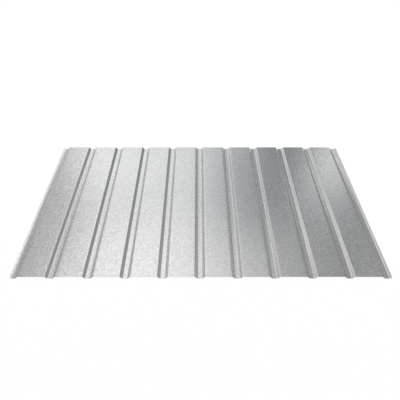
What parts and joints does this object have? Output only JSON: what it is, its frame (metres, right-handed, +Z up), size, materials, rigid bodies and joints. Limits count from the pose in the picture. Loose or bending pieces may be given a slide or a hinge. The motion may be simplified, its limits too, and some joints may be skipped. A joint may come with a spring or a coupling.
{
  "type": "trapezoidal profiled metal sheet",
  "caption": "Corrugated metal sheet of roll-formed galvanised steel, with wide flat crowns, narrow pans and sloping flanks, for roofing, cladding or fencing.",
  "frame": {"origin": "centre of the sheet's footprint, level with the undersides of its pans, which it lies on", "axes": "+X across the ribs, from the flat overlap strip towards the raised underlap lip; +Y along the ribs; +Z up, out of the crowns"},
  "size_m": [1.1748, 0.7, 0.0085],
  "materials": {
    "galvanised_steel": "hot-dip galvanised steel, fine spangle, satin"
  },
  "bodies": {
    "root": {"profiled_sheet": "galvanised_steel"}
  },
  "joints": []
}
